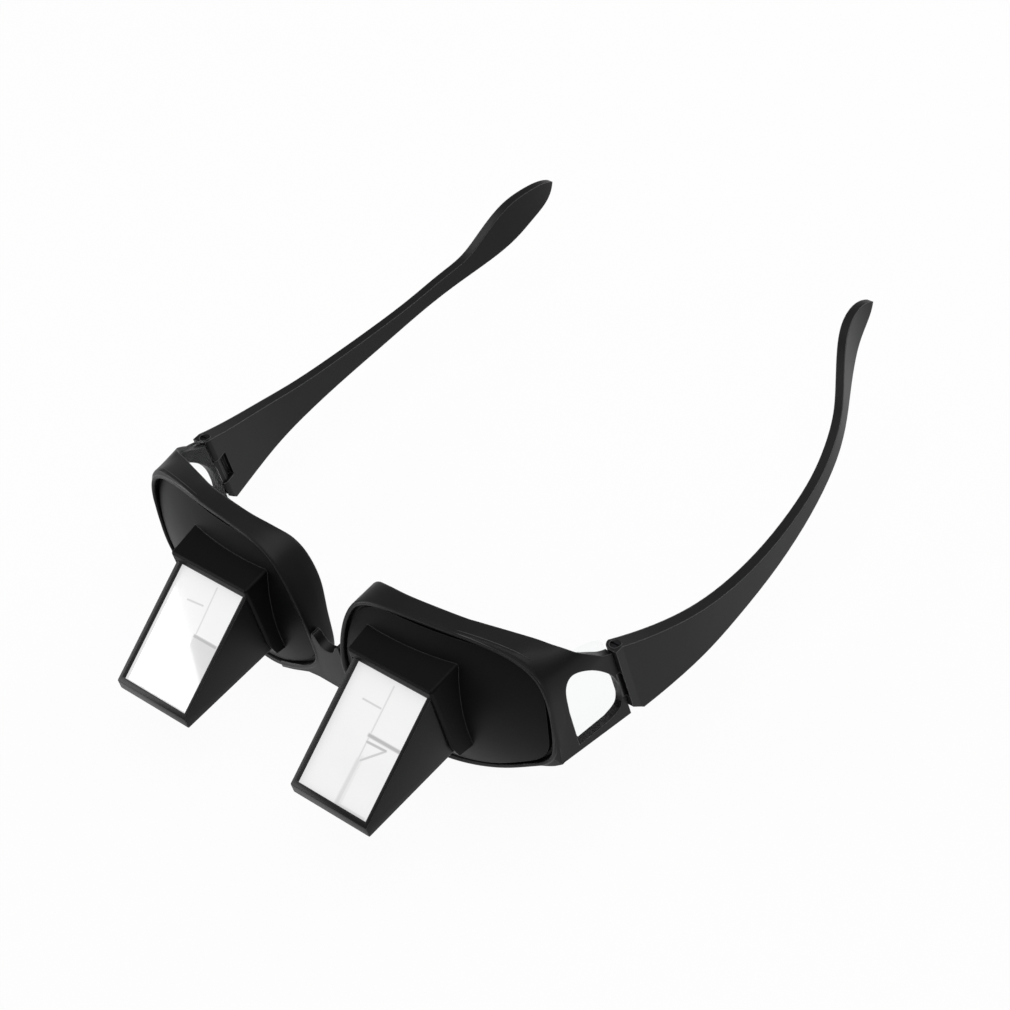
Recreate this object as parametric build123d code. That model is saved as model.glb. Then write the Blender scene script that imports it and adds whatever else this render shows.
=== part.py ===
from build123d import *
import os
from math import radians, sqrt, tan, cos

# Prism bed glasses: a black wrap-around frame that holds a glass prism in front of each eye.
# Millimetres. +X is the wearer's left, the prisms face -Y, the temples run to +Y, +Z is up.
# Places are measured from the middle of the two collars' front faces. At the end every piece
# is moved so that the origin lies under the middle of the whole object.

# Front of the frame
prism_spacing = 66.0
front_low_y = 2.7
front_low_z = -35.3
front_plan_radius = 336.0
front_rise_radius = 218.0
barrel_reach_share = 0.5
rim_wall = 1.6
rim_depth = 6.6
lens_inner_x = 5.8
lens_width = 65.5
lens_low_z = -31.8
lens_height = 44.5
lens_outline_shares = [
    (0.003, 0.366), (0.018, 0.524), (0.055, 0.692), (0.101, 0.831), (0.153, 0.926), (0.232, 0.978),
    (0.369, 0.996), (0.583, 0.996), (0.751, 0.987), (0.866, 0.960), (0.944, 0.897), (0.983, 0.800),
    (0.998, 0.658), (0.995, 0.501), (0.977, 0.355), (0.931, 0.267), (0.850, 0.200), (0.711, 0.103),
    (0.568, 0.034), (0.431, 0.000), (0.324, 0.018), (0.202, 0.094), (0.087, 0.193), (0.022, 0.280),
]
brow_front_y = 12.4
brow_drop = 2.8
brow_drop_shares = [0, 0, 0, 0, 0, 0, 0, 0.35, 0.85, 1, 0.9, 0.5, 0.2, 0, 0, 0, 0, 0, 0, 0, 0, 0, 0, 0]

# Bridge and nose arch
bridge_top_z = -12.2
bridge_depth = 2.8
slot_radius = 3.6
slot_flare_height = 2.6
slot_flare_width = 5.2
nose_top_z = -25.0
nose_low_z = -33.4
nose_half_width = 28.0
nose_wall = 2.0
nose_outline_shares = [(0.0, 0.0), (0.24, 0.0), (0.36, 0.03), (0.48, 0.20), (0.75, 0.64), (1.0, 1.0)]

# Side shields
side_wall = 2.4
corner_x = 72.2
corner_y = 13.5
corner_radius = 4.5
side_end_x = 75.4
side_top_z = 10.9
side_low_z = -19.5
side_low_back_z = -21.0
side_end_z = 0.4
side_sweep_y = 19.5
side_sweep_shares = [(0.0, 0.0), (0.36, 0.17), (0.68, 0.61), (1.0, 1.0)]
brow_depth = 8.4
brow_x = 58.3
brow_z = 13.1
brow_inner_x = 50.0
brow_inner_z = 13.4
cheek_x = 68.6
cheek_z = -21.4
chin_x = 62.0
chin_z = -23.4
chin_inner_x = 50.0
chin_inner_z = -27.0
window_front_y = 17.6
window_rear_y = 32.6
window_low_z = -18.0
window_top_z = 3.2
window_outline_shares = [
    (0.02, 0.56), (0.09, 0.885), (0.29, 1.0), (0.62, 0.88), (0.92, 0.60), (1.0, 0.33), (0.92, 0.08), (0.66, 0.00),
]
clear_wall = 1.5
clear_margin = 1.2
clear_proud = 1.0
clear_top_z = 9.6
clear_gap = 0.05

# Lens panel
seat_depth = 3.4
seat_ledge = 1.6
seat_ledge_depth = 2.2
panel_gap = 0.05
panel_groove = 1.0
panel_groove_depth = 1.7
panel_wall = 2.2
dome_plan_radius = 115.0
dome_rise_radius = 62.0
dome_x = 26.5
dome_front_y = 3.1
dome_z = -16.6

# Collar of the lens panel
collar_half_width = 14.5
collar_front_y = -0.7
collar_top_z = 4.4
collar_low_z = -19.8
collar_back_y = 10.4
collar_flare = 1.2
collar_round = 0.8
collar_chin_height = 4.2
collar_chin_slant = 1.2
collar_stop = 1.9

# Prism case and prism
wedge_angle = 30.0
case_half_width = 13.4
case_front_y = -30.2
case_back_y = 8.6
case_low_z = -18.7
case_toe_height = 3.1
case_top_z = 1.9
case_wall = 1.2
case_toe_wall = 1.3
case_bar = 1.4
case_ledge = 1.0
case_ledge_height = 0.6
case_round = 0.35
glass_recess = 1.1
fit_gap = 0.05

# Hinge
hinge_x = 74.2
hinge_y = 35.8
hinge_low_z = -21.0
hinge_middle_top_z = -6.2
hinge_middle_low_z = -14.2
hinge_gap = 0.15
frame_knuckle_radius = 1.6
screw_radius = 0.7
screw_head_radius = 1.4
screw_head_height = 0.9
screw_sink = 0.4
screw_slot_width = 0.5
screw_slot_depth = 0.4
screw_clearance = 0.03
screw_end_wall = 1.2

# Temple
arm_length = 124.6
arm_height = 22.6
hinge_top_z = hinge_low_z + arm_height
arm_bow = 17.4
arm_thickness = 4.6
arm_slot_back = 3.0
arm_toe_height = 3.0
arm_bow_shares = [
    (0.00, 0.00), (0.09, 0.12), (0.18, 0.20), (0.28, 0.21), (0.39, 0.17), (0.52, 0.06), (0.63, -0.09),
    (0.71, -0.26), (0.78, -0.48), (0.86, -0.77), (0.92, -0.93), (1.00, -1.00),
]
arm_thickness_shares = [1.00, 0.84, 0.73, 0.68, 0.64, 0.60, 0.59, 0.59, 0.59, 0.59, 0.57, 0.41]
arm_top_shares = [
    (0.00, 1.000), (0.09, 0.788), (0.18, 0.624), (0.28, 0.491), (0.39, 0.416), (0.52, 0.394), (0.63, 0.438),
    (0.71, 0.535), (0.76, 0.628), (0.80, 0.796), (0.84, 0.991), (0.885, 1.137), (0.93, 1.172), (0.975, 1.127),
    (1.00, 1.045),
]
arm_low_shares = [
    (0.985, 0.934), (0.925, 0.766), (0.875, 0.624), (0.77, 0.403), (0.65, 0.261), (0.53, 0.159), (0.40, 0.097),
    (0.28, 0.062), (0.12, 0.012), (0.03, 0.000),
]

# How far cuts run past what they cut
overrun = 40.0


def lens_face(grow, y, drop=0.0):
    # The lens outline as a face across Y, grown all round, with its brow let down
    width = lens_width + 2 * grow
    height = lens_height + 2 * grow
    points = []
    for (sx, sz), sd in zip(lens_outline_shares, brow_drop_shares):
        points.append((lens_inner_x - grow + width * sx, y, lens_low_z - grow + height * sz - drop * sd))
    return Face(Wire([Spline(*points, periodic=True)]))


def lens_prism(grow):
    return extrude(lens_face(grow, -overrun), amount=3 * overrun, dir=(0, 1, 0))


def barrel(x, front_y, z, plan_radius, rise_radius):
    # A barrel-shaped solid about an upright axis: its skin is curved both in plan and in height
    reach = rise_radius * barrel_reach_share
    inset = plan_radius - (rise_radius - sqrt(rise_radius ** 2 - reach ** 2))
    side = ThreePointArc((inset, 0, -reach), (plan_radius, 0, 0), (inset, 0, reach))
    rest = Polyline((inset, 0, reach), (0, 0, reach), (0, 0, -reach), (inset, 0, -reach))
    return Pos(x, front_y + plan_radius, z) * revolve(make_face([side, rest]), axis=Axis.Z)


def behind_front(depth):
    # Everything behind the curved front, or behind a surface a depth further back
    return barrel(0, front_low_y + depth, front_low_z, front_plan_radius - depth, front_rise_radius - depth)


def layer(start, end):
    # The layer between two depths behind the curved front
    return behind_front(start) - behind_front(end)


def run_y(points):
    # An outline in the XZ plane run along the whole of Y
    wire = Polyline(*[(x, -overrun, z) for x, z in points], close=True)
    return extrude(make_face(wire), amount=4 * overrun, dir=(0, 1, 0))


def run_x(edges, half_width, x=0.0):
    # Edges in the YZ plane, closed into a face and run across X
    return Pos(x - half_width, 0, 0) * extrude(make_face(edges), amount=2 * half_width, dir=(1, 0, 0))


def outline_yz(points):
    return Polyline(*[(0, y, z) for y, z in points], close=True)


def block(x_range, y_range, z_range):
    # A box between two values on each axis
    pairs = [sorted(x_range), sorted(y_range), sorted(z_range)]
    middle = [(a + b) / 2 for a, b in pairs]
    return Pos(*middle) * Box(*[b - a for a, b in pairs])


def mirrored(shape):
    return mirror(shape, about=Plane.YZ)


# The side shield's outer face is a flat wall, splayed outwards towards the hinge
side_run_x = side_end_x - corner_x
side_run_y = hinge_y - corner_y
side_length = sqrt(side_run_x ** 2 + side_run_y ** 2)
side_inward = Vector(-side_run_y / side_length, side_run_x / side_length, 0)
side_far_y = hinge_y - arm_thickness / 2 - hinge_gap


def side_point(y, z, depth=0.0):
    # A point of the side shield's outer face, or a depth inside it
    x = corner_x + side_run_x * (y - corner_y) / side_run_y
    return Vector(x, y, z) + side_inward * depth


def through_side(edges, start, end):
    # Edges drawn on the side shield's outer face, run through it between two depths
    moved = Pos(*(side_inward * start)) * make_face(edges)
    return extrude(moved, amount=end - start, dir=side_inward)


def wrap_solid(inset, rear_y):
    # What lies an inset inside the wrap-around: the front turns a rounded corner into the side wall
    plan = Polyline(
        (0, -overrun, 0), side_point(-overrun, 0, inset), side_point(rear_y, 0, inset), (0, rear_y, 0), close=True,
    )
    height = lens_height + 2 * overrun
    column = Pos(0, 0, lens_low_z - overrun) * extrude(make_face(plan), amount=height, dir=(0, 0, 1))
    solid = column & behind_front(inset)
    middle = (side_low_z + side_top_z) / 2
    corner = sorted(solid.edges(), key=lambda e: (e.center() - Vector(corner_x, corner_y, middle)).length)[0]
    return fillet(corner, corner_radius - inset)


wrap = wrap_solid(0, side_far_y)
hollow = wrap_solid(side_wall, side_far_y + overrun)


def corner_face(y, inset, drop):
    # What the shell's corner covers, seen from the front: squarer than the lens at brow and cheek
    far_x = side_end_x + overrun
    side_z = side_top_z - drop
    top = [(brow_inner_x, brow_inner_z), (brow_x, brow_z - drop), (corner_x, side_z), (far_x, side_z)]
    cheek = [(cheek_x, cheek_z), (chin_x, chin_z), (chin_inner_x, chin_inner_z)]
    low = [(far_x, side_low_z), (corner_x, side_low_z)] + cheek
    spots = [(x, z - inset) for x, z in top] + [(x, z + inset) for x, z in low]
    return make_face(Polyline(*[(x, y, z) for x, z in spots], close=True))


def corner_solid(inset):
    # Its top falls away to the rear as the rim's does
    slope = brow_drop / brow_depth
    near = corner_face(0, inset, -slope * brow_front_y)
    far = corner_face(brow_front_y + overrun, inset, slope * overrun)
    return loft([near, far], ruled=True)


corner_block = corner_solid(0)
corner_hollow = corner_solid(side_wall) & hollow

# The shield's top edge sweeps down from the brow to the hinge
sweep_y = side_far_y - side_sweep_y
sweep_z = side_top_z - side_end_z
sweep_points = [(side_sweep_y + sweep_y * sy, side_top_z - sweep_z * sz) for sy, sz in side_sweep_shares]
sweep_edge = Spline(*[(0, y, z) for y, z in sweep_points])
sweep_rest = Polyline(
    (0, side_far_y, side_end_z), (0, side_far_y, side_low_back_z), (0, corner_y, side_low_z), (0, -overrun, side_low_z),
    (0, -overrun, side_top_z), (0, side_sweep_y, side_top_z),
)
side_profile = Pos(chin_x, 0, 0) * extrude(make_face([sweep_edge, sweep_rest]), amount=overrun, dir=(1, 0, 0))

# One half of the frame, on +X. The rim is a tube along the lens outline, cut to the curved front
rim_slope = brow_drop / brow_depth
rim_tube = loft([
    lens_face(rim_wall, 0, -rim_slope * brow_front_y),
    lens_face(rim_wall, 2 * brow_front_y, rim_slope * brow_front_y),
], ruled=True)
rim = rim_tube & layer(0, rim_depth)
rim = rim - (lens_prism(0) & layer(-overrun, seat_depth)) - lens_prism(-seat_ledge)
rim = rim - (lens_prism(0) & layer(seat_depth + seat_ledge_depth, rim_depth + overrun))
rim = rim & wrap

# Brow, cheek and side wall are one shell that grows out of the rim
lens_keep_out = lens_prism(rim_wall / 2)
brow = ((corner_block & wrap & layer(0, brow_depth)) - corner_hollow) - lens_keep_out
side = ((wrap & side_profile) - hollow) - lens_keep_out
half = rim + (brow + side)

# Side window, and the pocket behind it for its clear liner
window_width = window_rear_y - window_front_y
window_height = window_top_z - window_low_z
window_curve = []
for sy, sz in window_outline_shares:
    window_curve.append(side_point(window_front_y + window_width * sy, window_low_z + window_height * sz))
window_point = side_point(window_front_y, window_low_z)
window_edges = [
    Spline(*window_curve), Line(window_curve[-1], window_point), Line(window_point, window_curve[0]),
]
half = half - through_side(window_edges, -side_wall, 2 * side_wall)


def liner_edges(gap):
    # The liner's outline: it follows the shield's sweeping top edge and stands a little proud of it
    low = window_low_z - clear_margin - gap
    front = window_front_y - gap
    rear = window_rear_y + clear_margin / 2 + gap
    sweep = [(y, z + clear_proud + gap) for y, z in sweep_points]
    top = [(y + gap, min(z, clear_top_z + gap)) for y, z in sweep if y <= rear]
    share = (rear - sweep[-2][0]) / (sweep[-1][0] - sweep[-2][0])
    end = (rear, sweep[-2][1] + share * (sweep[-1][1] - sweep[-2][1]))
    curve = Spline(*[side_point(y, z) for y, z in top + [end]])
    corners = [end, (rear, low), (front, low), (front, clear_top_z), top[0]]
    return [curve, Polyline(*[side_point(y, z) for y, z in corners])]


side_lens = through_side(liner_edges(0), side_wall + clear_gap, side_wall + clear_gap + clear_wall)
half = half - through_side(liner_edges(clear_gap), side_wall, side_wall + rim_depth)

# Middle knuckle of the hinge
arm_reach = arm_thickness / 2
knuckle_low = hinge_middle_low_z
knuckle_high = hinge_middle_top_z
knuckle_height = knuckle_high - knuckle_low
knuckle_mid_z = (knuckle_high + knuckle_low) / 2
knuckle = Pos(hinge_x, hinge_y, knuckle_mid_z) * Cylinder(frame_knuckle_radius, knuckle_height)
knuckle_inner_x = hinge_x - frame_knuckle_radius
knuckle_root = block(
    (knuckle_inner_x, side_point(side_far_y, 0).X - screw_clearance),
    (side_far_y - side_wall, hinge_y),
    (knuckle_low, knuckle_high),
)
knuckle_root = knuckle_root & block(
    (knuckle_inner_x, hinge_x + frame_knuckle_radius), (0, hinge_y), (knuckle_low, knuckle_high),
)
half = half + knuckle_root + knuckle
half = half - Pos(hinge_x, hinge_y, knuckle_mid_z) * Cylinder(screw_radius + screw_clearance, 2 * knuckle_height)

# Bridge: a web that leans forward at its lower edge, under a round-bottomed slot
slot_centre_z = bridge_top_z + slot_radius
slot_high_z = slot_centre_z + slot_flare_height
nose_height = nose_top_z - nose_low_z
nose_spots = [(nose_half_width * sx, nose_top_z - nose_height * sz) for sx, sz in nose_outline_shares]


def nose_region(inset=0.0):
    curve = Spline(*[(x, -overrun, z + inset) for x, z in nose_spots])
    rest = Polyline(*[
        (x, -overrun, z) for x, z in [
            (nose_half_width, nose_low_z + inset), (nose_half_width, slot_high_z - nose_height),
            (lens_inner_x + seat_ledge + rim_wall, slot_high_z), (0, slot_high_z), (0, nose_top_z + inset),
        ]
    ])
    return extrude(make_face([curve, rest]), amount=4 * overrun, dir=(0, 1, 0))


web = nose_region() & layer(0, bridge_depth)
slot = Pos(0, 0, slot_centre_z) * Rot(90, 0, 0) * Cylinder(slot_radius, 4 * overrun)
slot = slot + run_y([
    (-slot_radius, slot_centre_z), (slot_radius, slot_centre_z),
    (slot_flare_width, slot_high_z), (-slot_flare_width, slot_high_z),
])
web = web - slot
saddle = (nose_region() - nose_region(nose_wall)) & layer(0, rim_depth)
saddle = saddle & block((0, nose_half_width), (-overrun, overrun), (nose_low_z, (nose_top_z + bridge_top_z) / 2))
bridge = (web + saddle) - lens_keep_out
half = half + bridge
front_frame = half + mirrored(half)

# Lens panel: a domed plate with a flange that drops into the rim, and a square collar for the prism
dome = barrel(dome_x, dome_front_y, dome_z, dome_plan_radius, dome_rise_radius)
dome_inside = barrel(
    dome_x, dome_front_y + panel_wall, dome_z, dome_plan_radius - panel_wall, dome_rise_radius - panel_wall
)
panel = lens_prism(-panel_gap) & dome & layer(-overrun, seat_depth)
groove = (lens_prism(rim_wall) - lens_prism(-panel_groove)) & layer(-overrun, panel_groove_depth)
panel = panel - groove
panel = panel - (lens_prism(-seat_ledge - panel_groove) & dome_inside)
prism_x = prism_spacing / 2


def collar_rect(y, side_grow, end_grow):
    # The collar's outline across Y, grown at its sides and at its ends
    middle = Plane.XZ * Pos(prism_x, (collar_top_z + collar_low_z) / 2)
    height = collar_top_z - collar_low_z + 2 * end_grow
    return Pos(0, y, 0) * (middle * Rectangle(2 * (collar_half_width + side_grow), height))


collar = loft([collar_rect(collar_front_y, 0, 0), collar_rect(collar_back_y, collar_flare / 2, collar_flare)], ruled=True)
chin_top_z = collar_low_z + collar_chin_height
chin_low_z = collar_low_z - collar_chin_height
chin_cut = run_x(outline_yz([
    (collar_front_y, chin_top_z), (collar_front_y + collar_chin_slant, collar_low_z),
    (collar_front_y + 2 * collar_chin_slant, chin_low_z),
    (collar_front_y - overrun, chin_low_z), (collar_front_y - overrun, chin_top_z),
]), 2 * collar_half_width, prism_x)
collar = collar - chin_cut
front_edges = [e for e in collar.edges() if e.bounding_box().max.Y < collar_front_y + collar_round]
long_edges = [e for e in collar.edges() if e.bounding_box().max.Y > collar_back_y - collar_round]
long_edges = [e for e in long_edges if e.bounding_box().min.Y < collar_front_y + 2 * collar_chin_slant]
top_edges = [e for e in long_edges if e.center().Z > chin_top_z]
collar = fillet(front_edges + top_edges, collar_round)

# The sloping window plane of the prism case
slope = tan(radians(wedge_angle))
toe_z = case_low_z + case_toe_height
recess_drop = glass_recess / cos(radians(wedge_angle))
case_x = case_half_width + fit_gap
socket = block(
    (prism_x - case_x, prism_x + case_x),
    (collar_front_y - overrun, case_back_y + fit_gap),
    (case_low_z - fit_gap, case_top_z + fit_gap),
)
eye_x = case_x - collar_stop
eye_hole = block(
    (prism_x - eye_x, prism_x + eye_x),
    (collar_front_y - overrun, collar_back_y + overrun),
    (case_low_z + collar_stop, case_top_z - collar_stop),
)
panel = (panel + collar) - socket - eye_hole

# Prism case: an open wedge whose side walls and bars stand a little proud of the glass
case_crest_y = case_front_y + (case_top_z - toe_z) / slope
case_body = run_x(outline_yz([
    (case_front_y, case_low_z), (case_front_y, toe_z), (case_crest_y, case_top_z),
    (case_back_y, case_top_z), (case_back_y, case_low_z),
]), case_half_width, prism_x)
round_edges = [e for e in case_body.edges() if e.bounding_box().max.Y < case_crest_y + case_round]
case_body = fillet(round_edges, case_round)
inner_half = case_half_width - case_wall
glass_front_y = case_front_y + case_toe_wall
glass_low_z = case_low_z + case_ledge_height
glass_top_z = case_top_z - case_bar
glass_toe_z = toe_z - recess_drop + slope * case_toe_wall
glass_crest_y = case_front_y + (glass_top_z + recess_drop - toe_z) / slope


def glass_profile(gap):
    back_y = case_back_y + collar_stop - 2 * gap
    return outline_yz([
        (glass_front_y + gap, glass_low_z + gap), (glass_front_y + gap, glass_toe_z - gap),
        (glass_crest_y, glass_top_z - gap), (back_y, glass_top_z - gap), (back_y, glass_low_z + gap),
    ])


case_window = run_x(outline_yz([
    (glass_front_y, glass_low_z), (glass_front_y, case_top_z + overrun),
    (collar_front_y - case_bar, case_top_z + overrun), (collar_front_y - case_bar, glass_low_z),
]), inner_half, prism_x)
case_cavity = run_x(glass_profile(0), inner_half, prism_x)
case_mouth = block(
    (prism_x - inner_half + case_ledge, prism_x + inner_half - case_ledge),
    (glass_front_y + case_ledge, case_back_y - case_bar),
    (case_low_z - overrun, glass_low_z + case_ledge),
)
prism_case = case_body - case_window - case_cavity - case_mouth
prism_bounds = block((0, 2 * prism_x), (-overrun, case_back_y), (-overrun, overrun))
prism = run_x(glass_profile(fit_gap), inner_half - fit_gap, prism_x) & prism_bounds

# Temple: the side profile run across, cut to a bowed band seen from above
arm_line = [(hinge_x + arm_bow * sx, hinge_y + arm_length * sy) for sy, sx in arm_bow_shares]
arm_outer = [(x + arm_reach * t, y) for (x, y), t in zip(arm_line, arm_thickness_shares)]
arm_inner = [(x - arm_reach * t, y) for (x, y), t in zip(arm_line, arm_thickness_shares)]
front_y = side_far_y + hinge_gap
bend_reach = arm_reach * sqrt(0.5)
band = make_face([
    Spline(*[(x, y, 0) for x, y in arm_outer]),
    Line((*arm_outer[-1], 0), (*arm_inner[-1], 0)),
    Spline(*[(x, y, 0) for x, y in arm_inner]),
    ThreePointArc(
        (hinge_x - arm_reach, hinge_y, 0), (hinge_x - bend_reach, hinge_y - bend_reach, 0), (hinge_x, front_y, 0),
    ),
    Polyline((hinge_x, front_y, 0), (hinge_x + arm_reach, front_y, 0), (hinge_x + arm_reach, hinge_y, 0)),
])
band = Pos(0, 0, hinge_low_z - overrun) * extrude(band, amount=arm_height + 2 * overrun, dir=(0, 0, 1))
arm_top = [(hinge_y + arm_length * sy, hinge_low_z + arm_height * sz) for sy, sz in arm_top_shares]
arm_low = [(hinge_y + arm_length * sy, hinge_low_z + arm_height * sz) for sy, sz in arm_low_shares]
arm_face = make_face([
    Spline(*[(0, y, z) for y, z in arm_top]),
    Spline(*[(0, y, z) for y, z in [arm_top[-1]] + arm_low]),
    Polyline(
        (0, *arm_low[-1]), (0, front_y + arm_toe_height, hinge_low_z), (0, front_y, hinge_low_z + arm_toe_height),
        (0, front_y, hinge_top_z), (0, hinge_y, hinge_top_z),
    ),
])
temple = extrude(arm_face, amount=hinge_x + overrun, dir=(1, 0, 0)) & band
slot_reach = arm_reach - (arm_reach - frame_knuckle_radius) / 2
slot_range = (knuckle_low - hinge_gap, knuckle_high + hinge_gap)
slot_cut = block((hinge_x - overrun, hinge_x), (front_y - overrun, hinge_y + arm_slot_back), slot_range)
slot_cut = slot_cut + block((hinge_x - overrun, hinge_x + slot_reach), (front_y - overrun, hinge_y), slot_range)
slot_cut = slot_cut + Pos(hinge_x, hinge_y, knuckle_mid_z) * Cylinder(slot_reach, slot_range[1] - slot_range[0])
temple = temple - slot_cut
screw_top = hinge_top_z - screw_sink
screw_low = hinge_low_z + screw_end_wall
bore_height = screw_top - screw_low
bore_middle = Pos(hinge_x, hinge_y, (screw_top + screw_low) / 2)
bore = bore_middle * Cylinder(screw_radius + screw_clearance, bore_height)
pocket_depth = screw_sink + screw_head_height
head_pocket = Pos(hinge_x, hinge_y, hinge_top_z) * Cylinder(screw_head_radius + screw_clearance, 2 * pocket_depth)
temple = temple - bore - head_pocket
screw = bore_middle * Cylinder(screw_radius, bore_height)
head_middle = Pos(hinge_x, hinge_y, screw_top - screw_head_height / 2)
screw_slot = Pos(hinge_x, hinge_y, screw_top) * Box(2 * screw_head_radius, screw_slot_width, 2 * screw_slot_depth)
screw = screw + head_middle * Cylinder(screw_head_radius, screw_head_height) - screw_slot

nodes = {
    'lens_panel': panel, 'prism_case': prism_case, 'prism': prism, 'side_lens': side_lens,
    'temple': temple, 'hinge_screw': screw,
}
os.makedirs('parts', exist_ok=True)
everything = {'front_frame': front_frame}
for name, shape in nodes.items():
    everything[name + '_left'] = shape
    everything[name + '_right'] = mirrored(shape)
boxes = [shape.bounding_box() for shape in everything.values()]
low = [min(getattr(b.min, a) for b in boxes) for a in 'XYZ']
high = [max(getattr(b.max, a) for b in boxes) for a in 'XYZ']
move = Pos(0, -(low[1] + high[1]) / 2, -low[2])
for name, shape in everything.items():
    export_step(move * shape, 'parts/' + name + '.step')
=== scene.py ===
import bmesh
import bpy
from math import cos, pi, radians, sin, sqrt
from mathutils import Matrix, Vector


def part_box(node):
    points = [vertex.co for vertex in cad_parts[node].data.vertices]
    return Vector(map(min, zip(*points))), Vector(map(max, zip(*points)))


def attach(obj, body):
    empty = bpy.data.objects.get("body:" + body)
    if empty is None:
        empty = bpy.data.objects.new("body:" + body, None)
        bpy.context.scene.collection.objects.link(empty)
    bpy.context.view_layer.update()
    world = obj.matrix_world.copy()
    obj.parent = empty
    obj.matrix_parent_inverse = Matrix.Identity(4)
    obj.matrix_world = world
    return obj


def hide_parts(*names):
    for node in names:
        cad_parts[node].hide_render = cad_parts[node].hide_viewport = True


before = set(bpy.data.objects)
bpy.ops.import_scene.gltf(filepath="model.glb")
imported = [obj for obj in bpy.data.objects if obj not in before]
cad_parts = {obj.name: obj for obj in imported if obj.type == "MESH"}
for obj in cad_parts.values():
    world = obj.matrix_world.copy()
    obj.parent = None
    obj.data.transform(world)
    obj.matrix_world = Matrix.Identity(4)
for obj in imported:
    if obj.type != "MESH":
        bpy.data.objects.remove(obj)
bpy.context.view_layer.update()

# The frame front: one wrap-around moulding in satin black plastic, with two rims, a bridge over the
# nose and two side shields that end in the middle knuckle of each hinge. Its colour runs through the
# plastic, and its edges carry a painted highlight that makes them a little lighter.
mm = 0.001

# Lengths are in millimetres in the glasses' own frame: x to the wearer's left, y back and z up. The box of
# the left prism case, whose toe and floor lie at these two places, says where that frame is in the scene.
case_low, case_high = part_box("prism_case_left")
case_front_y, case_low_z = -30.2, -18.7
shift_y = case_low.y / mm - case_front_y
shift_z = case_low.z / mm - case_low_z

front_low_y, front_low_z = 2.7, -35.3
front_plan_radius, front_rise_radius = 336.0, 218.0
rim_wall = 1.3
seat_depth, seat_ledge, ledge_depth = 3.4, 1.6, 2.2
lens_inner_x, lens_width = 5.8, 65.5
lens_low_z, lens_height = -31.8, 44.5
brow_front_y, brow_slope = 12.4, 0.34
corner_x, corner_y = 72.2, 13.5
side_end_x, hinge_x, hinge_y = 75.4, 74.2, 35.8

# Round the lens: width share, height share, how much of the brow's fall it has, and where the rim ends
rim_stops = [
    (0.003, 0.366, 0, 10.4), (0.018, 0.524, 0, 12.2), (0.055, 0.692, 0, 15.2), (0.101, 0.831, 0, 16.5),
    (0.153, 0.926, 0, 16.5), (0.232, 0.978, 0, 15.6), (0.369, 0.996, 0, 15.4), (0.583, 0.996, 0.35, 17.1),
    (0.751, 0.987, 0.85, 19.7), (0.866, 0.960, 1, 21.0), (0.944, 0.897, 0.9, 19.6), (0.983, 0.800, 0.5, 17.2),
    (0.998, 0.658, 0.2, 16.9), (0.995, 0.501, 0, 16.8), (0.977, 0.355, 0, 16.6), (0.931, 0.267, 0, 16.2),
    (0.850, 0.200, 0, 15.2), (0.711, 0.103, 0, 13.9), (0.568, 0.034, 0, 12.7), (0.431, 0.000, 0, 11.5),
    (0.324, 0.018, 0, 11.2), (0.202, 0.094, 0, 10.8), (0.087, 0.193, 0, 10.1), (0.022, 0.280, 0, 9.9),
]


def smooth_line(stops, steps, closed=False, corners=()):
    """Places on the smooth line through some stops, with that many steps from each stop to the next."""
    count = len(stops)
    line = []
    for i in range(count if closed else count - 1):
        near, far = stops[i], stops[(i + 1) % count]
        before = stops[i - 1] if closed or i else near
        after = stops[(i + 2) % count] if closed or i + 2 < count else far
        for step in range(steps):
            t = step / steps
            place = []
            for a, b, c, d in zip(before, near, far, after):
                leave = 0.0 if i in corners else (c - a) / 2
                reach = 0.0 if (i + 1) % count in corners else (d - b) / 2
                rise = b * (2 * t ** 3 - 3 * t ** 2 + 1) + c * (3 * t ** 2 - 2 * t ** 3)
                place.append(rise + leave * (t ** 3 - 2 * t ** 2 + t) + reach * (t ** 3 - t ** 2))
            line.append(tuple(place))
    if not closed:
        line.append(tuple(stops[-1]))
    return line


def front_y(x, z, depth=0.0):
    """Where the curved front lies at a place seen from the front, or a layer that deep behind it."""
    rise = front_rise_radius - depth
    plan = front_plan_radius - depth - rise + sqrt(rise ** 2 - (z - front_low_z) ** 2)
    return front_low_y + front_plan_radius - sqrt(plan ** 2 - x ** 2)


def side_x(y):
    """Where the flat outer side of a shield lies, splayed a little outwards to the rear."""
    return corner_x + (side_end_x - corner_x) * (y - corner_y) / (hinge_y - corner_y)


def spot(x, y, z):
    """A place of the glasses in millimetres as a place of the scene."""
    return Vector((x, y + shift_y, z + shift_z)) * mm


def skin(form, rows, around=False, along=False):
    """Faces between rows of places. Around closes each row, and along closes the rows."""
    built = [[form.verts.new(spot(*place)) for place in row] for row in rows]
    for i in range(len(built) if along else len(built) - 1):
        near, far = built[i], built[(i + 1) % len(built)]
        for j in range(len(near) if around else len(near) - 1):
            k = (j + 1) % len(near)
            form.faces.new((near[j], near[k], far[k], far[j]))
    return built


def tube(form, rows):
    """A closed bar through rows of places that each go once round it."""
    built = skin(form, rows, around=True)
    form.faces.new(built[0])
    form.faces.new(list(reversed(built[-1])))


def mesh_of(form, name):
    """The form as a mesh whose faces all look outwards."""
    bmesh.ops.recalc_face_normals(form, faces=form.faces)
    if form.calc_volume(signed=True) < 0:
        bmesh.ops.reverse_faces(form, faces=form.faces)
    mesh = bpy.data.meshes.new(name)
    form.to_mesh(mesh)
    form.free()
    return mesh


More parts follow.
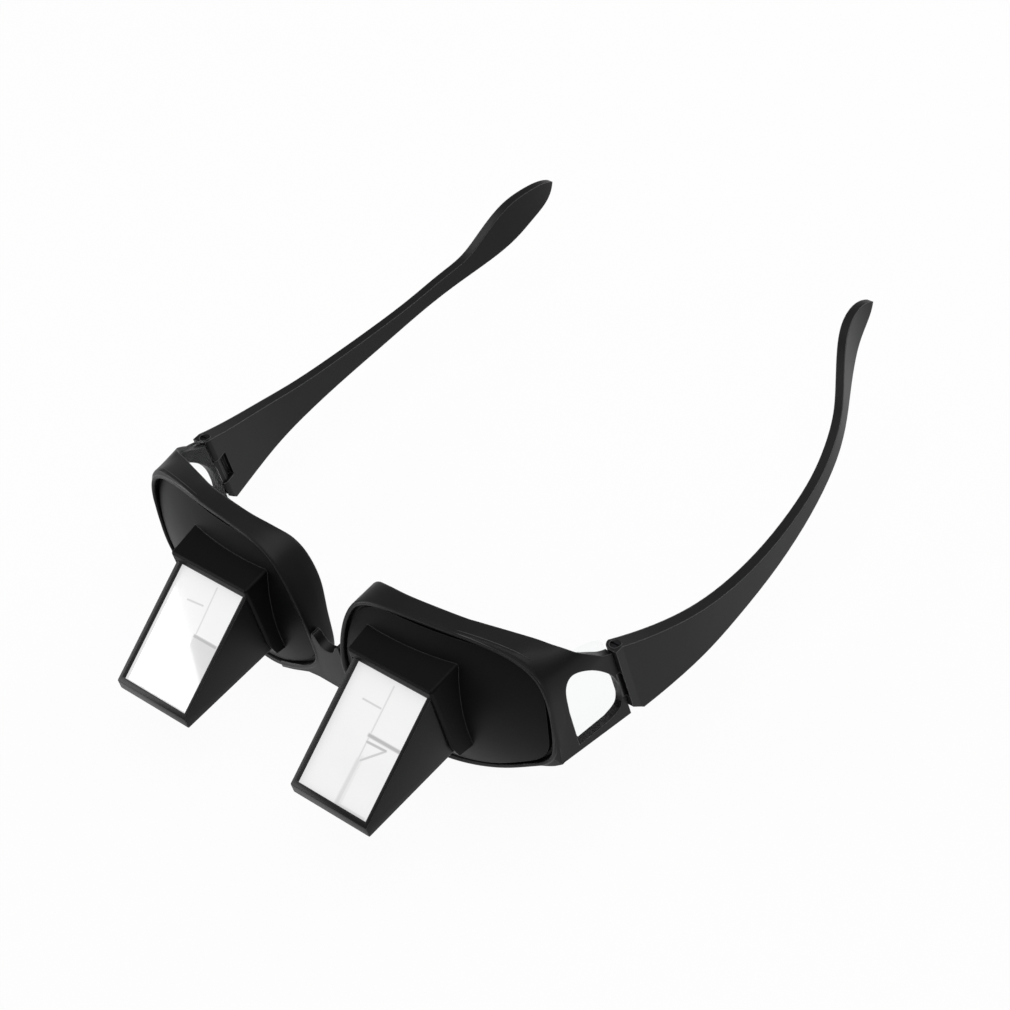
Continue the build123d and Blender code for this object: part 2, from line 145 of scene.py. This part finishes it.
def carved(mesh, *tools):
    """The mesh with each tool's space cut away."""
    block = bpy.data.objects.new("block", mesh)
    bpy.context.scene.collection.objects.link(block)
    spare = [block]
    for tool in tools:
        cutter = bpy.data.objects.new("cutter", tool)
        bpy.context.scene.collection.objects.link(cutter)
        spare.append(cutter)
        cut = block.modifiers.new("cut", "BOOLEAN")
        cut.object = cutter
        cut.operation = "DIFFERENCE"
        cut.solver = "MANIFOLD"
    bpy.context.view_layer.update()
    result = bpy.data.meshes.new_from_object(block.evaluated_get(bpy.context.evaluated_depsgraph_get()))
    for item in spare:
        bpy.data.objects.remove(item)
    return result


def mirror(form, keep=False):
    """The other side's shape: the wearer's left becomes the right."""
    geometry = form.verts[:] + form.edges[:] + form.faces[:]
    if keep:
        geometry = bmesh.ops.duplicate(form, geom=geometry)["geom"]
    verts = [item for item in geometry if isinstance(item, bmesh.types.BMVert)]
    faces = [item for item in geometry if isinstance(item, bmesh.types.BMFace)]
    for vert in verts:
        vert.co.x = -vert.co.x
    bmesh.ops.reverse_faces(form, faces=faces)


def finished_piece(name, form, body, stands_for, crease):
    """A smooth piece that keeps its edges where they turn by more than the crease, in degrees."""
    mesh = bpy.data.meshes.new(name)
    form.to_mesh(mesh)
    form.free()
    mesh.shade_smooth()
    mesh.set_sharp_from_angle(angle=radians(crease))
    piece = bpy.data.objects.new(name, mesh)
    bpy.context.scene.collection.objects.link(piece)
    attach(piece, body)
    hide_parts(stands_for)
    return piece


# Round each lens runs a rim with a rounded front ridge, a seat for the lens panel and a ledge behind it.
# The ridge goes out from the lens line and back from the front; the rear edge goes forward from the rear.
ridge = [(0.05, 0.9), (0.12, 0.35), (0.35, 0.08), (0.65, 0.0), (1.0, 0.1), (1.24, 0.4), (rim_wall, 1.0)]
rear_edge = [(1.18, 0.25), (0.9, 0.0), (0.4, 0.0), (0.1, 0.2), (0.0, 0.6)]
rim_inset = 0.12
lens_line = []
for share_x, share_z, fall, rear in smooth_line(rim_stops, 7, closed=True):
    lens_line.append((lens_inner_x + lens_width * share_x, lens_low_z + lens_height * share_z, fall, rear))
rim_rows = []
for i, (x, z, fall, rear) in enumerate(lens_line):
    before, after = lens_line[i - 1], lens_line[(i + 1) % len(lens_line)]
    way = Vector((before[1] - after[1], after[0] - before[0])).normalized()
    near = front_y(x, z)
    wall_end = rear - rim_wall / 2
    seat = near + seat_depth
    section = [(out, near + back) for out, back in ridge]
    section += [(rim_wall, near + (wall_end - near) * third / 3) for third in (1, 2, 3)]
    section += [(out, rear - forward) for out, forward in rear_edge]
    section += [(0.0, seat + ledge_depth), (-seat_ledge, seat + ledge_depth), (-seat_ledge, seat), (0.0, seat)]
    row = []
    for out, y in section:
        lowered = z + way.y * out - fall * brow_slope * max(0.0, y - brow_front_y)
        row.append((min(x + way.x * out, side_x(y) - rim_inset), y, lowered))
    rim_rows.append(row)
form = bmesh.new()
skin(form, rim_rows, around=True, along=True)
rim = mesh_of(form, "rim")

# Outside the rim the front turns the corner into the side shield, whose top sweeps down to the hinge.
# Each stop gives the skin's front edge, its rear edge, how round its front is and how thick it is.
shield_stops = [
    (40.0, 13.2, 40.0, 15.4, 12.6, 0.4, 0.8), (46.0, 13.75, 46.0, 17.2, 12.9, 0.4, 0.9),
    (52.0, 13.85, 52.0, 19.0, 12.1, 0.5, 1.0), (57.9, 13.5, 57.9, 20.7, 11.3, 0.6, 1.1),
    (63.4, 12.6, 63.4, 22.4, 10.3, 0.7, 1.2), (66.6, 11.2, 67.0, 23.3, 9.6, 0.8, 1.4),
    (69.0, 9.2, 69.8, 24.3, 8.8, 0.9, 1.6), (70.8, 6.8, 72.4, 26.0, 6.9, 1.1, 2.0),
    (71.8, 3.9, 74.0, 28.8, 4.3, 1.2, 2.4), (72.2, 0.8, 74.8, 31.2, 1.9, 1.3, 2.4),
    (72.3, -3.0, 75.05, 33.35, 0.8, 1.4, 2.4), (72.3, -10.0, 75.05, 33.35, -10.0, 1.4, 2.4),
    (72.2, -19.5, 75.05, 33.35, -21.0, 1.2, 2.4),
]
shield_corners = (10, 12)
rim_overlap, least_reach = 0.45, 0.2

# Over the front the skin goes from the rim to the corner: share of the way back to the rim, how far it
# lies behind the curved front, and how much of the corner's roundness is added to that
corner_steps = [(1.0, 0.14, 0.0), (0.7, 0.16, 0.0), (0.35, 0.16, 0.15), (0.08, 0.0, 0.55)]
side_steps = 8


def nearest_rim(x, z):
    """The place on the lens line that lies nearest, seen from the front."""
    return min(lens_line, key=lambda place: (place[0] - x) ** 2 + (place[1] - z) ** 2)


outer_rows = []
wall = []
for front_x, front_z, rear_x, rear_y, rear_z, soft, thick in smooth_line(shield_stops, 5, corners=shield_corners):
    start = nearest_rim(front_x, front_z)
    inward = Vector((start[0] - front_x, start[1] - front_z))
    reach = max(inward.length - rim_overlap, least_reach)
    inward.normalize()
    near = front_y(front_x, front_z)
    row = []
    for share, sunk, rounding in corner_steps:
        x, z = front_x + inward.x * reach * share, front_z + inward.y * reach * share
        row.append((x, front_y(x, z) + sunk + soft * rounding, z))
    for step in range(side_steps + 1):
        t = step / side_steps
        y = near + soft + (rear_y - near - soft) * t
        row.append((min(front_x + (rear_x - front_x) * t, side_x(y)), y, front_z + (rear_z - front_z) * t))
    outer_rows.append(row)
    wall.append(thick)
form = bmesh.new()
outer = skin(form, outer_rows)
form.normal_update()
front_count = len(corner_steps)
middle = outer[len(outer) // 2][front_count + side_steps // 2]
way_out = 1.0 if middle.normal.x > 0 else -1.0
inner = []
for row, thick in zip(outer, wall):
    ways = [Vector((0, -1, 0))] * front_count + [vert.normal * way_out for vert in row[front_count:]]
    inner.append([form.verts.new(vert.co - way * thick * mm) for vert, way in zip(row, ways)])
for near, far in zip(inner, inner[1:]):
    for j in range(len(near) - 1):
        form.faces.new((near[j], near[j + 1], far[j + 1], far[j]))


def border(rows):
    """Once round the edge of a grid of places."""
    rear = [row[-1] for row in rows[1:]]
    front = [row[0] for row in rows[1:-1]]
    return rows[0] + rear + rows[-1][-2::-1] + front[::-1]


edge_out, edge_in = border(outer), border(inner)
for j in range(len(edge_out)):
    k = (j + 1) % len(edge_out)
    form.faces.new((edge_out[j], edge_out[k], edge_in[k], edge_in[j]))
shell = mesh_of(form, "shell")

# Under the shield the front fills out to a squarer cheek: its outer edge's place and where it ends
cheek_stops = [
    (72.1, -19.45, 19.5), (70.4, -20.5, 19.3), (68.6, -21.4, 19.0), (65.0, -22.6, 17.6), (60.0, -24.1, 15.2),
]
cheek_root, cheek_sunk, cheek_round = 0.2, 0.16, 0.5
cheek_rows = []
for x, z, rear in smooth_line(cheek_stops, 4):
    start = nearest_rim(x, z)
    root_x, root_z = start[0] + (x - start[0]) * cheek_root, start[1] + (z - start[1]) * cheek_root
    cheek_rows.append([
        (root_x, front_y(root_x, root_z) + cheek_sunk, root_z), (x, front_y(x, z) + cheek_round, z),
        (x, rear, z), (root_x, rear, root_z),
    ])
form = bmesh.new()
tube(form, cheek_rows)
cheek = mesh_of(form, "cheek")

# A window in each shield, and the hinge's middle knuckle behind it
inward = Vector((-(hinge_y - corner_y), side_end_x - corner_x)).normalized()


def through_side(name, places, start, end):
    """A plate with that outline on the shield's outer side, between two depths."""
    form = bmesh.new()
    rows = []
    for depth in (start, end):
        rows.append([(side_x(y) + inward.x * depth, y + inward.y * depth, z) for y, z in places])
    tube(form, rows)
    return mesh_of(form, name)


window_y, window_z, window_width, window_height = 17.6, -18.0, 15.0, 21.2
window_cut = (-3.0, 7.0)
window_shares = [
    (0.02, 0.56), (0.09, 0.885), (0.29, 1.0), (0.62, 0.88), (0.92, 0.60), (1.0, 0.33), (0.92, 0.08),
    (0.66, 0.0),
]
window_line = [(0.0, 0.0)] + smooth_line(window_shares, 6)
window_line = [(window_y + window_width * sy, window_z + window_height * sz) for sy, sz in window_line]
shell = carved(shell, through_side("window", window_line, *window_cut))


def post(form, x, y, low, high, radius, count=24):
    """An upright round bar."""
    turns = [2 * pi * i / count for i in range(count)]
    tube(form, [[(x + radius * cos(turn), y + radius * sin(turn), z) for turn in turns] for z in (low, high)])


def bar(form, x_range, y_range, z_range):
    """A straight block between two values each way."""
    (x0, x1), (y0, y1), (z0, z1) = x_range, y_range, z_range
    tube(form, [[(x0, y0, z), (x1, y0, z), (x1, y1, z), (x0, y1, z)] for z in (z0, z1)])


knuckle_radius, knuckle_low, knuckle_high = 1.6, -14.2, -6.2
root_length, root_inset = 3.1, 0.6
form = bmesh.new()
post(form, hinge_x, hinge_y, knuckle_low, knuckle_high, knuckle_radius)
root_x = (hinge_x - knuckle_radius, hinge_x + knuckle_radius - root_inset)
bar(form, root_x, (hinge_y - root_length, hinge_y), (knuckle_low, knuckle_high))
knuckle = mesh_of(form, "knuckle")

# The bridge is a thin web between the rims under a round-bottomed slot, with a saddle along the nose arch
bridge_sunk, bridge_depth = 0.15, 2.8
saddle_low_sunk, saddle_high_sunk, saddle_depth, saddle_wall = 0.2, 0.4, 6.6, 2.0
slot_radius, slot_z, slot_turn, slot_steps = 3.6, -8.6, 7.5, 10
arch_stops = [(0.0, -25.0), (6.7, -25.0), (10.1, -25.25), (13.4, -26.7), (21.0, -30.4), (27.0, -33.0)]
arch_line = smooth_line(arch_stops, 5)


def arch_z(x):
    """How low the bridge reaches at that distance from the middle."""
    for (x0, z0), (x1, z1) in zip(arch_line, arch_line[1:]):
        if x <= x1:
            return z0 + (z1 - z0) * (x - x0) / (x1 - x0)
    return arch_line[-1][1]


turns = [radians(slot_turn) * i for i in range(slot_steps + 1)]
web_top = [(slot_radius * sin(turn), slot_z - slot_radius * cos(turn)) for turn in turns]
web_top += [
    (4.3, -8.8), (5.0, -8.8), (5.35, -12.0), (5.9, -17.5), (7.2, -20.0), (11.5, -23.9), (19.0, -28.3),
    (25.0, -31.2),
]
web_rows = []
saddle_rows = []
for x, top in web_top:
    low = arch_z(x)
    upwards = (low, (low + top) / 2, top)
    ring = [(x, front_y(x, z, bridge_sunk), z) for z in upwards]
    web_rows.append(ring + [(x, front_y(x, z, bridge_depth), z) for z in reversed(upwards)])
    high = low + saddle_wall
    saddle_rows.append([
        (x, front_y(x, low) + saddle_low_sunk, low), (x, front_y(x, high) + saddle_high_sunk, high),
        (x, front_y(x, high) + saddle_depth, high), (x, front_y(x, low) + saddle_depth, low),
    ])
web_rows = [[(-x, y, z) for x, y, z in ring] for ring in reversed(web_rows[1:])] + web_rows
saddle_rows = [[(-x, y, z) for x, y, z in ring] for ring in reversed(saddle_rows[1:])] + saddle_rows
form = bmesh.new()
tube(form, web_rows)
tube(form, saddle_rows)
bridge = mesh_of(form, "bridge")

form = bmesh.new()
for mesh in (rim, shell, cheek, knuckle):
    form.from_mesh(mesh)
mirror(form, keep=True)
form.from_mesh(bridge)
front_piece = finished_piece("frame_front", form, "front", "front_frame", 35)


class Wire:
    """One output of a finish's node tree, so that sums on it read as plain sums."""

    def __init__(self, tree, out=None):
        self.tree = tree
        self.out = out

    def node(self, kind, settings, sockets, out=0):
        made = self.tree.nodes.new(kind)
        for key, value in settings.items():
            setattr(made, key, value)
        for key, value in sockets.items():
            if isinstance(value, Wire):
                self.tree.links.new(value.out, made.inputs[key])
            else:
                made.inputs[key].default_value = value
        return Wire(self.tree, made.outputs[out] if made.outputs else None)

    def sum(self, operation, first, second=0.0):
        return self.node("ShaderNodeMath", {"operation": operation}, {0: first, 1: second})

    def __add__(self, other):
        return self.sum("ADD", self, other)

    def __radd__(self, other):
        return self.sum("ADD", other, self)

    def __sub__(self, other):
        return self.sum("SUBTRACT", self, other)

    def __rsub__(self, other):
        return self.sum("SUBTRACT", other, self)

    def __mul__(self, other):
        return self.sum("MULTIPLY", self, other)

    def __rmul__(self, other):
        return self.sum("MULTIPLY", other, self)

    def __abs__(self):
        return self.sum("ABSOLUTE", self)

    def larger(self, other):
        return self.sum("MAXIMUM", self, other)

    def clipped(self, low, high):
        """0 below low, 1 above high, and straight between them."""
        return self.node("ShaderNodeMapRange", {"clamp": True}, {0: self, 1: low, 2: high, 3: 0.0, 4: 1.0})

    def between(self, first, second):
        """The first colour where this is 0 and the second where it is 1."""
        return self.node("ShaderNodeMix", {"data_type": "RGBA"}, {"Factor": self, 6: first, 7: second}, 2)


def finish_tree(name):
    """A new finish and the pen that draws its nodes."""
    finish = bpy.data.materials.new(name)
    finish.use_nodes = True
    finish.node_tree.nodes.clear()
    return finish, Wire(finish.node_tree)


def grey(shade):
    return (shade, shade, shade * 1.02, 1)


def wear(piece, finish):
    """The piece is covered with that finish all over."""
    piece.data.materials.clear()
    piece.data.materials.append(finish)


def moulded_black(name, shade, edge_highlight_grey, roughness, edge_width, specular=0.2):
    """Black plastic from a mould: fine grain, cloudy sheen, and edges painted lighter as a painted highlight."""
    finish, new = finish_tree(name)
    place = new.node("ShaderNodeTexCoord", {}, {}, "Object")
    cloud = new.node("ShaderNodeTexNoise", {}, {"Vector": place, "Scale": 90.0, "Detail": 3.0}, "Fac")
    fine = new.node("ShaderNodeTexNoise", {}, {"Vector": place, "Scale": 2600.0, "Detail": 2.0}, "Fac")
    rounded = new.node("ShaderNodeBevel", {"samples": 6}, {"Radius": edge_width})
    facing = new.node("ShaderNodeNewGeometry", {}, {}, "Normal")
    along = new.node("ShaderNodeVectorMath", {"operation": "DOT_PRODUCT"}, {0: rounded, 1: facing}, "Value")
    # Painted highlight: the bevel's edge mask lightens the base colour along every edge, standing in for light
    # caught there.
    edge = (1.0 - along).clipped(0.03, 0.22)
    body = cloud.between(grey(shade * 0.8), grey(shade * 1.2))
    colour = (edge * 0.8).between(body, grey(edge_highlight_grey))
    grain = {"Strength": 0.3, "Distance": 0.00004, "Height": fine, "Normal": rounded}
    normal = new.node("ShaderNodeBump", {}, grain)
    surface = new.node(
        "ShaderNodeBsdfPrincipled", {},
        {
            "Base Color": colour, "Roughness": roughness + (cloud - 0.5) * 0.10, "Normal": normal,
            "Specular IOR Level": specular, "IOR": 1.5,
        },
    )
    new.node("ShaderNodeOutputMaterial", {}, {"Surface": surface})
    return finish


wear(front_piece, moulded_black("frame black", shade=0.006, edge_highlight_grey=0.16, roughness=0.42, edge_width=0.0004))

# The liners of the side windows: clear plastic sheet, snapped into the inner side of each shield.
# Their top stands a little proud of the shield's sweeping edge.
liner_front, liner_rear, liner_low, liner_z, liner_rise = 17.6, 33.2, -19.2, 3.8, 2.2
liner_depths = (2.45, 3.95)
liner_shares = [(0.0, 0.0), (0.36, 0.75), (0.55, 1.0), (0.72, 0.72), (0.88, 0.18), (1.0, -0.35)]
liner_line = []
for share_y, share_z in smooth_line(liner_shares, 5):
    liner_line.append((liner_front + (liner_rear - liner_front) * share_y, liner_z + liner_rise * share_z))
liner_line += [(liner_rear, liner_low), (liner_front, liner_low)]


def clear_sheet(name):
    """Clear plastic with faint smears in its gloss."""
    finish, new = finish_tree(name)
    place = new.node("ShaderNodeTexCoord", {}, {}, "Object")
    smear = new.node("ShaderNodeTexNoise", {}, {"Vector": place, "Scale": 60.0, "Detail": 2.0}, "Fac")
    surface = new.node(
        "ShaderNodeBsdfPrincipled", {},
        {
            "Base Color": (0.97, 0.98, 0.98, 1), "Roughness": smear.clipped(0.45, 0.9) * 0.05,
            "Transmission Weight": 1.0, "IOR": 1.08,
        },
    )
    new.node("ShaderNodeOutputMaterial", {}, {"Surface": surface})
    return finish


liner_clear = clear_sheet("liner clear")
for side in ("left", "right"):
    form = bmesh.new()
    form.from_mesh(through_side("liner", liner_line, *liner_depths))
    if side == "right":
        mirror(form)
    liner = finished_piece("side_liner_" + side, form, "front", "side_lens_" + side, 35)
    wear(liner, liner_clear)

# The two lens panels: domed black plates that close the rims, each with a square collar for its
# prism case. They are moulded in a duller black than the frame and drop into the rims from the front.
panel_black = moulded_black(
    "panel black", shade=0.004, edge_highlight_grey=0.10, roughness=0.44, edge_width=0.0003, specular=0.08,
)
for side in ("left", "right"):
    wear(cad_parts["lens_panel_" + side], panel_black)

# The prism cases: open wedges in thin black plastic, pushed into the collars until only a fine edge
# shows. Their side walls and toe stand a little proud of the glass.
prism_x = (case_low.x + case_high.x) / 2 / mm
case_half = (case_high.x - case_low.x) / 2 / mm
case_back_y, case_top_z, toe_height, crest_y = 8.6, 1.9, 3.1, 0.11
case_wall, toe_wall, floor_wall, roof_wall, mouth_ledge, rear_ledge = 1.2, 1.3, 0.6, 0.9, 1.0, 1.4
window_end_y, edge_round = -0.4, 0.35
past_roof, past_back, past_floor, mouth_rise = 5.0, 5.0, 3.0, 1.0
toe_z = case_low_z + toe_height


def wedge(half, places):
    """A solid with that outline in side view, run across the prism's width."""
    form = bmesh.new()
    tube(form, [[(x, y, z) for y, z in places] for x in (prism_x - half, prism_x + half)])
    return form


form = wedge(case_half, [
    (case_front_y, case_low_z), (case_front_y, toe_z), (crest_y, case_top_z),
    (case_back_y, case_top_z), (case_back_y, case_low_z),
])
bmesh.ops.recalc_face_normals(form, faces=form.faces)
bmesh.ops.bevel(form, geom=form.edges[:], offset=edge_round * mm, segments=2, profile=0.6, affect="EDGES")
case_body = mesh_of(form, "case")
inside_y, inside_z, roof_z = case_front_y + toe_wall, case_low_z + floor_wall, case_top_z - roof_wall
cavity = mesh_of(wedge(case_half - case_wall, [
    (inside_y, inside_z), (inside_y, case_top_z + past_roof), (window_end_y, case_top_z + past_roof),
    (window_end_y, roof_z), (case_back_y + past_back, roof_z), (case_back_y + past_back, inside_z),
]), "cavity")
mouth_front_y, mouth_back_y = inside_y + mouth_ledge, case_back_y - rear_ledge
mouth = mesh_of(wedge(case_half - case_wall - mouth_ledge, [
    (mouth_front_y, case_low_z - past_floor), (mouth_front_y, inside_z + mouth_rise),
    (mouth_back_y, inside_z + mouth_rise), (mouth_back_y, case_low_z - past_floor),
]), "mouth")
case_mesh = carved(case_body, cavity, mouth)
case_black = moulded_black("case black", shade=0.007, edge_highlight_grey=0.16, roughness=0.38, edge_width=0.0003)
for side in ("left", "right"):
    form = bmesh.new()
    form.from_mesh(case_mesh)
    if side == "right":
        mirror(form)
    case = finished_piece("wedge_case_" + side, form, "front", "prism_case_" + side, 30)
    wear(case, case_black)

# The prisms: solid wedges of polished glass, painted white with a glow: a painted light for the white board
# seen through them. Fine grey lines on the window are painted reflections of their inner edges, and
# darker patches on it are painted shade.


def streak(x, y, start, end, width):
    """1 along a fine line from start to end, 0 beside it."""
    run = Vector(end) - Vector(start)
    way = run.normalized()
    ahead = (x - start[0]) * way.x + (y - start[1]) * way.y
    aside = abs((x - start[0]) * way.y - (y - start[1]) * way.x)
    ends = ahead.clipped(-width, 0.0) * (1.0 - ahead.clipped(run.length, run.length + width))
    return (1.0 - aside.clipped(width * 0.35, width)) * ends


def inside(x, y, x_range, y_range, soft=0.5):
    """1 inside a rectangle of the window, 0 outside it."""
    across = x.clipped(x_range[0] - soft, x_range[0]) * (1.0 - x.clipped(x_range[1], x_range[1] + soft))
    return across * y.clipped(y_range[0] - soft, y_range[0]) * (1.0 - y.clipped(y_range[1], y_range[1] + soft))


# Painted reflection lines and painted shade patches, in millimetres from the prism's middle and its toe.
# Each line: start, end, width, strength
painted_edge_lines = {
    "left": [
        ((1.0, 28.9), (1.0, 1.9), 0.35, 0.22), ((-5.9, 23.6), (0.4, 23.6), 0.3, 0.3),
        ((0.7, 17.6), (11.1, 17.6), 0.6, 0.5), ((1.0, 16.2), (7.5, 16.4), 0.4, 0.45),
        ((7.5, 16.4), (1.7, 12.1), 0.4, 0.35), ((1.2, 12.0), (1.0, 1.9), 1.0, 0.22),
        ((1.2, 2.0), (10.6, 2.0), 0.4, 0.2),
    ],
    "right": [
        ((2.2, 29.1), (3.5, 2.4), 0.35, 0.22), ((-5.2, 23.8), (0.6, 24.2), 0.3, 0.3),
        ((2.5, 17.5), (10.7, 17.5), 0.6, 0.5),
    ],
}
shaded = {"left": ((1.2, 2.2), (2.0, 13.0)), "right": ((2.6, 11.2), (2.2, 17.0))}
shade_depth = {"left": 0.10, "right": 0.26}
pale_body, dark_body = (0.36, 0.36, 0.36, 1), (0.04, 0.04, 0.04, 1)
pale_glow, dark_glow = (1.0, 1.0, 1.0, 1), (0.10, 0.10, 0.10, 1)
for side in ("left", "right"):
    finish, new = finish_tree("prism glass " + side)
    place = new.node("ShaderNodeTexCoord", {}, {}, "Object")
    apart = new.node("ShaderNodeSeparateXYZ", {}, {"Vector": place}, "X")
    back = new.node("ShaderNodeSeparateXYZ", {}, {"Vector": place}, "Y")
    middle = prism_x if side == "left" else -prism_x
    x = apart * (1 / mm) - middle
    y = back * (1 / mm) - case_low.y / mm
    painted_reflections_and_haze = inside(x, y, *shaded[side]) * shade_depth[side]
    for start, end, width, strength in painted_edge_lines[side]:
        painted_reflections_and_haze = painted_reflections_and_haze.larger(streak(x, y, start, end, width) * strength)
    haze = new.node("ShaderNodeTexNoise", {}, {"Vector": place, "Scale": 45.0, "Detail": 2.0}, "Fac")
    painted_reflections_and_haze = painted_reflections_and_haze.larger(haze.clipped(0.52, 0.8) * 0.05)
    # The painted reflections and shade darken both the base colour and the painted white glow; the haze is random
    # tone.
    body = painted_reflections_and_haze.between(pale_body, dark_body)
    colour = painted_reflections_and_haze.between(pale_glow, dark_glow)
    # The emission is painted light: a white glow that stands for the board seen through the glass.
    surface = new.node(
        "ShaderNodeBsdfPrincipled", {},
        {
            "Base Color": body, "Emission Color": colour, "Emission Strength": 0.64, "Roughness": 0.06,
            "Coat Weight": 1.0, "Coat Roughness": 0.02, "IOR": 1.49,
        },
    )
    new.node("ShaderNodeOutputMaterial", {}, {"Surface": surface})
    wear(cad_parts["prism_" + side], finish)

# The temples: flat bowed arms in the same black plastic, with a slotted hinge end and a
# rounded ear rest.
temple_black = moulded_black("temple black", shade=0.007, edge_highlight_grey=0.18, roughness=0.42, edge_width=0.0005)
for side in ("left", "right"):
    wear(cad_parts["temple_" + side], temple_black)

# The hinge screws: small screws of blackened steel with a slotted head, driven down through the
# three knuckles until the head lies sunk in the top one.
finish, new = finish_tree("blackened steel")
place = new.node("ShaderNodeTexCoord", {}, {}, "Object")
turned = new.node("ShaderNodeTexNoise", {}, {"Vector": place, "Scale": 900.0, "Detail": 2.0}, "Fac")
surface = new.node(
    "ShaderNodeBsdfPrincipled", {},
    {"Base Color": (0.02, 0.02, 0.022, 1), "Metallic": 0.9, "Roughness": 0.32 + turned * 0.15},
)
new.node("ShaderNodeOutputMaterial", {}, {"Surface": surface})
for side in ("left", "right"):
    wear(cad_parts["hinge_screw_" + side], finish)

# The table under the glasses: a plain white board that runs out of view. It shows white to the
# camera, to reflections and through glass, and keeps a faint shadow.
finish, new = finish_tree("white board")
seen = new.node("ShaderNodeLightPath", {}, {}, "Is Camera Ray")
mirrored = new.node("ShaderNodeLightPath", {}, {}, "Is Glossy Ray")
through = new.node("ShaderNodeLightPath", {}, {}, "Is Transmission Ray")
matt = new.node("ShaderNodeBsdfDiffuse", {}, {"Color": (0.85, 0.85, 0.85, 1)})
white = new.node("ShaderNodeEmission", {}, {"Color": (1, 1, 1, 1), "Strength": 1.0})
plain = (seen + mirrored + through).clipped(0.0, 1.0) * 0.94
shown = new.node("ShaderNodeMixShader", {}, {0: plain, 1: matt, 2: white})
new.node("ShaderNodeOutputMaterial", {}, {"Surface": shown})
board_mesh = bpy.data.meshes.new("board")
half, drop = 4, -0.0004
corners = [(-half, -half, drop), (half, -half, drop), (half, half, drop), (-half, half, drop)]
board_mesh.from_pydata(corners, [], [(0, 1, 2, 3)])
board = bpy.data.objects.new("board", board_mesh)
bpy.context.scene.collection.objects.link(board)
board.data.materials.append(finish)

# The room: a plain studio with even white light from all sides, white to the camera as well, and
# three soft lamps, the strongest of them on the camera's left.
room = bpy.data.worlds.new("room")
bpy.context.scene.world = room
room.use_nodes = True
room.node_tree.nodes.clear()
new = Wire(room.node_tree)
seen = new.node("ShaderNodeLightPath", {}, {}, "Is Camera Ray")
through = new.node("ShaderNodeLightPath", {}, {}, "Is Transmission Ray")
soft = new.node("ShaderNodeBackground", {}, {"Color": (1, 1, 1, 1), "Strength": 0.28})
white = new.node("ShaderNodeBackground", {}, {"Color": (1, 1, 1, 1), "Strength": 1.0})
shown = new.node("ShaderNodeMixShader", {}, {0: (seen + through).clipped(0.0, 1.0), 1: soft, 2: white})
new.node("ShaderNodeOutputWorld", {}, {"Surface": shown})


def soft_lamp(name, place, aim, size, power):
    """A flat lamp of that width and height in metres, turned to what it lights."""
    lamp = bpy.data.lights.new(name, "AREA")
    lamp.shape = "RECTANGLE"
    lamp.size, lamp.size_y = size
    lamp.energy = power
    holder = bpy.data.objects.new(name, lamp)
    bpy.context.scene.collection.objects.link(holder)
    holder.location = place
    holder.rotation_euler = (Vector(aim) - Vector(place)).to_track_quat("-Z", "Y").to_euler()


soft_lamp("lamp above", place=(0.1, 0.1, 0.9), aim=(0, 0, 0), size=(0.9, 0.9), power=4.5)
soft_lamp("lamp at the left", place=(-0.9, -0.5, 0.35), aim=(0, 0, 0.02), size=(0.5, 0.7), power=5.0)
soft_lamp("lamp behind", place=(0.2, 0.9, 0.5), aim=(0, 0, 0.02), size=(0.8, 0.5), power=3.0)

# The camera stands in front, above and to the wearer's left, tilted as the photograph was taken.
# Its angles are in radians and its distances in millimetres; the lens is as long as the photograph's.
turn, rise, roll = 0.965690675, 0.747175453, -0.331263492
aside, raised, away = -50.3032074, -30.9567370, 684.987415
aimed_at = Vector((0, -65.1, 33.4))
sensor_width, photo_width, lens_in_pixels = 36.0, 1010.0, 2767.0
right = Vector((cos(turn), sin(turn), 0))
ahead = Vector((-sin(turn) * cos(rise), cos(turn) * cos(rise), -sin(rise)))
above = right.cross(ahead)
tilted_right = right * cos(roll) + above * sin(roll)
tilted_above = above * cos(roll) - right * sin(roll)
offset = tilted_right * aside + tilted_above * raised + ahead * away
camera = bpy.data.objects.new("camera", bpy.data.cameras.new("camera"))
bpy.context.scene.collection.objects.link(camera)
camera.data.sensor_width = sensor_width
camera.data.lens = lens_in_pixels * sensor_width / photo_width
camera.data.clip_start = 0.01
turned = Matrix((tilted_right, tilted_above, -ahead)).transposed().to_4x4()
camera.matrix_world = Matrix.Translation((-offset + aimed_at) / 1000) @ turned
bpy.context.scene.camera = camera
bpy.context.scene.view_settings.view_transform = "Standard"
